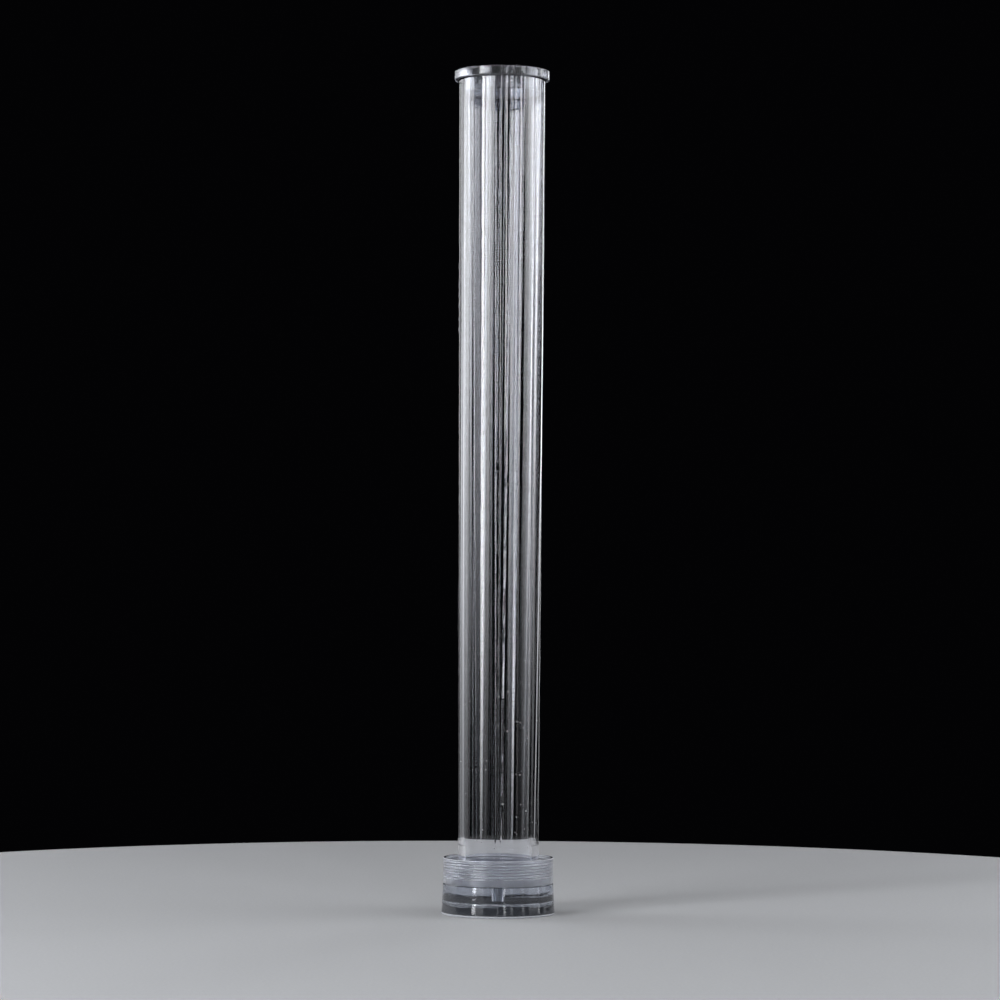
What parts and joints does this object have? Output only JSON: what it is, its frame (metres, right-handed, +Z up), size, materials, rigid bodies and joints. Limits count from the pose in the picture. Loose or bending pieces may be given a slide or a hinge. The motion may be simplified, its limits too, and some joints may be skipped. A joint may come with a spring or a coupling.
{
  "type": "manual rain gauge",
  "caption": "Clear tapered measuring tube with a push-in collector ring, screwed upright into the threaded collar of a clear round base.",
  "frame": {"origin": "centre of the underside of the foot disc, on the axis of the tube", "axes": "+Z up the axis of the tube, from the base to the collector ring; +X to the right and +Y to the back are arbitrary, because the gauge is round"},
  "size_m": [0.0404, 0.0404, 0.3],
  "materials": {
    "clear_ring": "polished clear acrylic",
    "clear_tube": "moulded clear styrene with faint lengthwise flow and a few scratches",
    "plug_plastic": "turned clear acrylic, frosted by the tool",
    "washer_rubber": "translucent silicone, satin",
    "frosted_collar": "clear acrylic, frosted inside by a fine thread",
    "clear_block": "polished clear acrylic with sawn and cemented faces",
    "pin_plastic": "ground clear acrylic rod"
  },
  "bodies": {
    "base": {"threaded_collar": "frosted_collar", "upper_disc": "clear_block", "centre_pin": "pin_plastic", "foot_disc": "clear_block"},
    "washer": {"seal_washer": "washer_rubber"},
    "tube": {"measuring_tube": "clear_tube", "threaded_plug": "plug_plastic"},
    "collector": {"collector_ring": "clear_ring"}
  },
  "joints": [
    {"name": "thread_rise", "type": "slide", "parent": "base", "child": "washer", "axis": [0, 0, 1], "range_m": [0, 0.01001]},
    {"name": "thread_turn", "type": "hinge", "parent": "washer", "child": "tube", "pos_m": [0, 0, 0.0155], "axis": [0, 0, 1], "range_deg": [0, 3600]},
    {"name": "collector_lift", "type": "slide", "parent": "tube", "child": "collector", "axis": [0, 0, 1], "range_m": [0, 0.015]}
  ],
  "couplings": [
    {"joint": "thread_rise", "follows": "thread_turn", "m_per_rad": 0.00015915}
  ]
}
